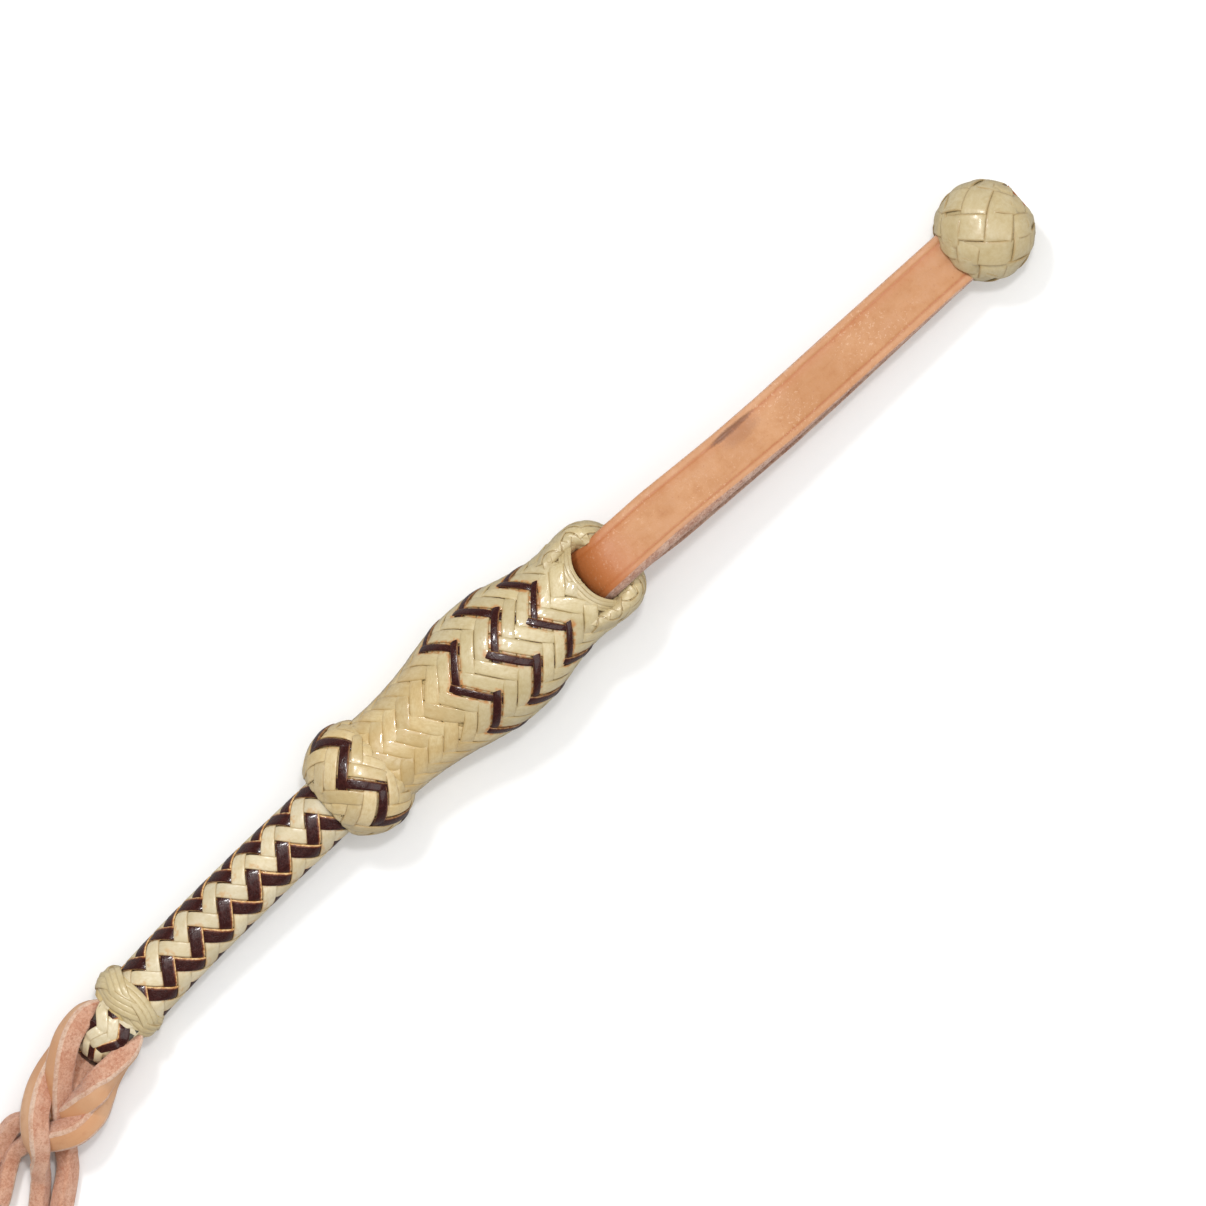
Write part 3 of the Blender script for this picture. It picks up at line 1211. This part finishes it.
# ------------------------------------------------------------------ wrist knob
def build_wrist_knob():
    leads, bights = 7, 8
    centre = DRAWING + KNOB
    q = np.linspace(0, 2 * math.pi, 2000, endpoint=False)
    angle = leads * q + 0.55
    over = np.tanh(2.4 * np.sin(bights * (leads - 1) * q)) * 0.30
    # the hole on the -x side lets the strap in: wide across it, tight over its faces
    near = -(0.66 + 0.36 * np.sin(angle) ** 2)
    far = 1.00
    latitude = (far + near) / 2 + (far - near) / 2 * np.cos(bights * q)
    normals = np.stack([np.sin(latitude), np.cos(latitude) * np.cos(angle),
                        np.cos(latitude) * np.sin(angle)], 1)
    width = 7.7 * np.cos(latitude) ** 0.6 * (1 + 0.05 * np.sin(3 * q + 1))
    knot = Piece()
    knot.sweep(centre + normals * (13.1 + over)[:, None], normals, width, 0.72, closed=True)
    knot.make("wrist_knob_turks_head", [KNOT], body="wrist_strap_upper",
              slot="rawhide_natural", replaces=("wrist_knob_lace",))

    # the ball under the knot
    radius = 12.55
    t = np.linspace(0.02, math.pi - 0.02, 26)[:, None]
    c, s = circle(44).T
    rings = placed(centre, np.eye(3), radius * np.cos(t), radius * np.sin(t) * c,
                   radius * np.sin(t) * s)
    lace = np.zeros((rings.size // 3, 3))
    lace[:, 1] = rings[..., 0].ravel()
    ball = Piece()
    ball.tube(rings, lace)
    ball.make("wrist_knob_wad", [UNDER_LAYER], body="wrist_strap_upper",
              slot="strap_leather", replaces=("wrist_knob_core",))


build_wrist_knob()

# ------------------------------------------------------------------ lash
LASH_WIDTH, LASH_THICK = 5.4, 4.4
SQUARE = np.array([
    (-1, -0.7), (-1, 0.0), (-1, 0.7), (-0.93, 0.93), (-0.7, 1), (0, 1), (0.7, 1),
    (0.93, 0.93), (1, 0.7), (1, 0.0), (1, -0.7), (0.93, -0.93), (0.7, -1), (0, -1),
    (-0.7, -1), (-0.93, -0.93)])
# slot of each side: grain 0, flesh 1, rim 2
SQUARE_SIDES = [1, 1, 2, 2, 0, 0, 2, 2] + [1] * 8
# centre lines of the legs: x, y in the drawing, z above the loop's middle, and the turn
# of the grain side about the lace in degrees
LEGS = {
    1: [(-131.4, -0.6, 2.8, 88), (-133.6, 0.2, 3.8, 84), (-137.6, 0.3, 5.0, 76),
        (-142.9, -1.3, 6.0, 66), (-147.6, -4.3, 6.2, 60), (-152.6, -8.5, 4.8, 56),
        (-156.2, -12.6, 1.6, 64), (-159.0, -16.8, -1.8, 80), (-161.7, -21.0, -4.4, 100),
        (-164.6, -24.9, -5.8, 125)],
    3: [(-129.4, -13.2, 2.8, -88), (-132.6, -14.4, 4.0, -88), (-137.3, -15.0, 5.4, -84),
        (-143.6, -15.9, 6.4, -62), (-149.4, -16.9, 5.6, -26), (-154.4, -16.6, 2.4, -26),
        (-158.7, -15.0, -1.6, -45), (-162.8, -13.0, -3.8, -75), (-166.4, -11.2, -4.8, -110)],
    2: [(-131.6, -1.0, -2.9, 80), (-135.8, -0.9, -3.8, 80), (-141.6, -1.8, -3.6, 78),
        (-148.0, -3.2, -1.8, 74), (-153.6, -4.9, 0.8, 68), (-158.6, -7.4, 3.4, 62),
        (-163.4, -11.2, 5.0, 60), (-166.8, -15.4, 4.6, 62), (-169.6, -19.9, 1.4, 80),
        (-172.4, -23.3, -2.4, 108)],
    4: [(-130.2, -13.2, -2.9, -86), (-135.6, -14.4, -3.8, -84), (-141.4, -16.2, -3.4, -78),
        (-147.2, -18.9, -1.2, -56), (-152.8, -21.4, 2.0, -40), (-158.2, -21.4, 3.9, -38),
        (-162.6, -19.4, 2.6, -40), (-166.0, -17.0, -1.2, -60), (-168.8, -15.6, -4.0, -85),
        (-171.4, -15.3, -5.2, -110)],
}
LASH_ORIGIN = np.array([DRAWING[0], DRAWING[1], tip_centre[2]])
LOOP_LEVEL = 2.7                         # z of the upper lace in the loop; the lower is at -2.7


def turned_up(path, degrees):
    """normals turned from upright about the path"""
    tangents = unit(np.gradient(path, axis=0))
    side = unit(np.cross(Z_WORLD, tangents))
    up = unit(np.cross(tangents, side))
    angle = np.radians(degrees)[:, None]
    return up * np.cos(angle) + side * np.sin(angle)


def leg_curve(leg):
    curve = spline(LEGS[leg], 60)
    path = curve[:, :3] + LASH_ORIGIN
    return path, turned_up(path, -curve[:, 3])


def lash_lace(name, legs, level, replaced):
    """a lace through the loop with a leg on each side; returns the place, direction and
    normal of each end"""
    (left, left_normals), (right, right_normals) = (leg_curve(leg) for leg in legs)
    middle = on_tip(3.1, 0, level)
    bridge = spline([left[3], left[0], on_tip(3.0, 4.4, level), middle,
                     on_tip(3.0, -4.4, level), right[0], right[3]], 80)
    # keep the stretch between the two legs
    first = np.argmin(np.linalg.norm(bridge - left[0], axis=1))
    last = np.argmin(np.linalg.norm(bridge - right[0], axis=1))
    bridge = bridge[first + 1:last]
    t = np.linspace(0, 1, len(bridge))[:, None]
    bridge_normals = unit(left_normals[0] * (1 - t) ** 2 + right_normals[0] * t ** 2
                          + TIP_X * (3 * t * (1 - t)))
    path = np.vstack([left[::-1], bridge, right])
    normals = np.vstack([left_normals[::-1], bridge_normals, right_normals])
    length = arc_lengths(path)
    where = np.linspace(0, length[-1], 190)
    path = columns_at(where, length, path)
    normals = unit(columns_at(where, length, normals))
    for _ in range(3):
        path = relaxed(path)
        normals = unit(relaxed(normals))
    # slimmer at the ends and squeezed where it goes through the loop
    s = arc_lengths(path)
    middle_s = s[np.argmin(np.linalg.norm(path - middle, axis=1))]
    full = smooth(0, 13, np.minimum(s, s[-1] - s)) * smooth(4.0, 11.0, np.abs(s - middle_s))
    lace = Piece()
    lace.sweep(path, normals, LASH_WIDTH + 1.5 * full, LASH_THICK + 1.7 * full,
               profile=SQUARE, mats=SQUARE_SIDES)
    lace.make(name, LASH_MATERIALS, body="lash", slot="lash_leather", replaces=(replaced,))
    return ((path[0], unit(path[0] - path[2]), normals[0]),
            (path[-1], unit(path[-1] - path[-3]), normals[-1]))


def build_inner_flesh():
    """where the flesh of the legs meets, on the -x side of the loop"""
    path = LASH_ORIGIN + spline([(-141.0, -8.0, -1.6), (-144.6, -9.2, 0.2), (-149.0, -10.6, 1.6),
                                 (-153.6, -12.4, 1.6), (-157.6, -14.2, -0.6)], 40)
    belly = np.sin(math.pi * np.linspace(0, 1, len(path)))
    belly = np.maximum(belly, 0)
    flesh = Piece()
    flesh.sweep(path, turned_up(path, np.full(len(path), 6.0)), 5.0 + 4.0 * belly ** 0.7,
                3.4 + 1.8 * belly, profile=SQUARE, mats=1)
    flesh.make("lash_inner_flesh", LASH_MATERIALS, body="lash", slot="lash_leather")


build_inner_flesh()
leg_ends = {}
leg_ends[1], leg_ends[3] = lash_lace(
    "lash_strap_upper_braided", (1, 3), LOOP_LEVEL, "lash_strap_upper")
leg_ends[2], leg_ends[4] = lash_lace(
    "lash_strap_lower_braided", (2, 4), -LOOP_LEVEL, "lash_strap_lower")

# ------------------------------------------------------------------ tails
# leg, tail, sideways sway, how far beside its hinge the tail starts
TAILS = [(1, 4, -1.4, -3.4), (2, 3, 2.0, 0.0), (3, 1, 1.6, 5.2), (4, 2, -1.8, -1.0)]
TIP_LENGTH = 132.0                       # of a tail past its second hinge
FLOOR_Z = LASH_THICK / 2 + 0.25          # centre height of a tail on the floor


def tail_path(tail, sway, beside, end, end_dir, hinge, tip_hinge, near_dir, far_dir):
    """from just inside the leg's end down to the floor and out to the tip"""
    near_side = np.array([-near_dir[1], near_dir[0], 0.0])
    far_side = np.array([-far_dir[1], far_dir[0], 0.0])
    points = [end - end_dir * 4.0, end, end + end_dir * 4.0]
    first = (0.09, 0.16) if tail == 1 else (0.11, 0.2)
    for f in first + (0.3, 0.5, 0.72, 0.9):
        shift = sway * math.sin(math.pi * f * 1.1) * smooth(0, 0.5, f)
        shift = shift + beside * math.exp(-f / 0.13)
        point = hinge + (tip_hinge - hinge) * f + near_side * shift
        point[2] = FLOOR_Z + (hinge[2] - FLOOR_Z) * max(0.0, 1 - f / 0.34) ** 2
        points.append(point)
    points.append(np.array([tip_hinge[0], tip_hinge[1], FLOOR_Z]))
    for f in (0.15, 0.35, 0.6, 0.82, 1.0):
        shift = sway * 1.3 * math.sin(math.pi * f * 0.9)
        point = tip_hinge + far_dir * (TIP_LENGTH * f) - far_side * shift
        point[2] = FLOOR_Z
        points.append(point)
    path = spline(points, 330)
    return path[np.argmin(np.linalg.norm(path - (end - end_dir * 3.0), axis=1)):]


def build_tail(leg, tail, sway, beside):
    hinge = joint_at(f"tail_{tail}_flex")
    tip_hinge = joint_at(f"tail_{tail}_tip_flex")
    axis = np.array(JOINTS[f"tail_{tail}_tip_flex"]["axis"])
    near_dir = unit(tip_hinge - hinge)
    far_dir = unit([axis[1], -axis[0], 0])
    far_dir = far_dir if far_dir[0] < 0 else -far_dir
    end, end_dir, end_normal = leg_ends[leg]
    path = tail_path(tail, sway, beside, end, end_dir, hinge, tip_hinge, near_dir, far_dir)
    s = arc_lengths(path)
    tangents = unit(np.gradient(path, axis=0))
    side = unit(np.cross(Z_WORLD, tangents))
    up = np.cross(tangents, side)
    # the flesh side turns up along the tail: the grain faces sideways, then down
    at_end = np.argmin(np.linalg.norm(path - end, axis=1))
    start = math.atan2(float(end_normal @ side[at_end]), float(end_normal @ unit(up[at_end])))
    sense = math.copysign(1, start if abs(start) > 0.05 else 1)
    steep = sense * math.radians(150)
    angle = start + (steep - start) * smooth(4, 42, s)
    angle = angle + (sense * math.pi - steep) * smooth(30, 70, s)
    normals = unit(up * np.cos(angle)[:, None] + side * np.sin(angle)[:, None])
    # never sunk into the floor
    low = LASH_WIDTH * np.abs(np.sin(angle)) + LASH_THICK * np.abs(np.cos(angle))
    path[:, 2] = np.maximum(path[:, 2], 0.485 * low + 0.12)
    middle = int(np.argmin(np.linalg.norm(path - (hinge + tip_hinge) / 2, axis=1)))
    taper = (1 - 0.35 * smooth(s[-1] - 14, s[-1], s)) * (0.97 + 0.03 * smooth(2.5, 9, s))
    waver = 0.025 * np.sin(s / 9.0 + tail * 1.7) + 0.015 * np.sin(s / 3.7 + tail)
    width = LASH_WIDTH * taper * (1 + waver * smooth(4, 16, s))
    bend_dir = unit(near_dir + far_dir)
    near, far = f"tail_{tail}_near", f"tail_{tail}_far"
    # name, stretch of the path, thickness, blend, replaced piece
    halves = (
        (f"{near}_half", slice(0, middle + 1), LASH_THICK * taper,
         ("lash", near, hinge - near_dir * 5.0, hinge + near_dir * 14.0), "upper"),
        (f"{far}_half", slice(middle, None), LASH_THICK * np.sqrt(taper),
         (near, far, tip_hinge - bend_dir * 18.0, tip_hinge + bend_dir * 18.0), "tip"))
    for name, part, thick, blend, replaced in halves:
        half = Piece()
        half.sweep(path[part], normals[part], width[part], thick[part], profile=SQUARE,
                   mats=SQUARE_SIDES)
        half.make(name, LASH_MATERIALS, blend=blend, slot="lash_leather",
                  replaces=(f"tail_{tail}_{replaced}",))


for row in TAILS:
    build_tail(*row)

# ------------------------------------------------------------------ stage, in metres
FLOOR_HALF = 4.0
VIEW_X, VIEW_Y = (DRAWING[0] + 43.2) * MM, (DRAWING[1] - 7.5) * MM
VIEW_TURN = math.radians(41)             # the camera is turned clockwise, seen from above
VIEW_DISTANCE = 2.6
VIEW_WIDTH = 0.32562                     # width of the view at the camera's target
TARGET_Z = 0.016
SENSOR = 36


def link(name, data):
    made = bpy.data.objects.new(name, data)
    bpy.context.scene.collection.objects.link(made)
    return made


def build_floor():
    m = Shader("floor")
    glossy = m.node("LightPath").outputs["Is Glossy Ray"]
    # darker in reflections
    m.finish(m.mix(glossy, (0.86, 0.86, 0.855), (0.22, 0.22, 0.22)), 0.75, spec=0.2)
    x, y, _ = DRAWING * MM
    mesh = bpy.data.meshes.new("floor")
    corners = [(x + i * FLOOR_HALF, y + j * FLOOR_HALF, 0)
               for i, j in ((-1, -1), (1, -1), (1, 1), (-1, 1))]
    mesh.from_pydata(corners, [], [(0, 1, 2, 3)])
    mesh.materials.append(m.material)
    link("floor", mesh)


def build_camera():
    data = bpy.data.cameras.new("camera")
    camera = link("camera", data)
    camera.location = (VIEW_X, VIEW_Y, TARGET_Z + VIEW_DISTANCE)
    camera.rotation_euler = (0, 0, -VIEW_TURN)
    data.sensor_width = SENSOR
    data.lens = SENSOR * VIEW_DISTANCE / VIEW_WIDTH
    data.clip_end = 20
    bpy.context.scene.camera = camera


def area_light(name, right, up, height, size, power):
    """right and up are as the camera sees them"""
    data = bpy.data.lights.new(name, "AREA")
    data.shape = "SQUARE"
    data.size = size
    data.energy = power
    cos, sin = math.cos(VIEW_TURN), math.sin(VIEW_TURN)
    place = Vector((VIEW_X + cos * right + sin * up, VIEW_Y - sin * right + cos * up, height))
    light = bpy.data.objects.new(name, data)
    light.location = place
    aim = Vector((VIEW_X, VIEW_Y, 0)) - place
    light.rotation_euler = aim.to_track_quat("-Z", "Y").to_euler()
    bpy.context.scene.collection.objects.link(light)


def build_world():
    """white surroundings, dimmer in reflections"""
    world = bpy.data.worlds.new("studio")
    world.use_nodes = True
    nodes, links = world.node_tree.nodes, world.node_tree.links
    background = nodes["Background"]
    background.inputs["Color"].default_value = (1, 1, 1, 1)
    light_path = nodes.new("ShaderNodeLightPath")
    strength = nodes.new("ShaderNodeMapRange")
    links.new(light_path.outputs["Is Glossy Ray"], strength.inputs[0])
    strength.inputs["To Min"].default_value = 0.52
    strength.inputs["To Max"].default_value = 0.10
    links.new(strength.outputs[0], background.inputs["Strength"])
    bpy.context.scene.world = world


build_floor()
build_camera()
area_light("key", right=-0.55, up=0.80, height=1.7, size=0.30, power=16)
area_light("glint", right=0.10, up=0.42, height=2.1, size=0.16, power=11)
area_light("fill", right=1.1, up=-0.5, height=1.3, size=1.2, power=8)
area_light("top", right=0.1, up=0.2, height=2.2, size=1.6, power=11)
build_world()
bpy.context.scene.view_settings.view_transform = "Standard"
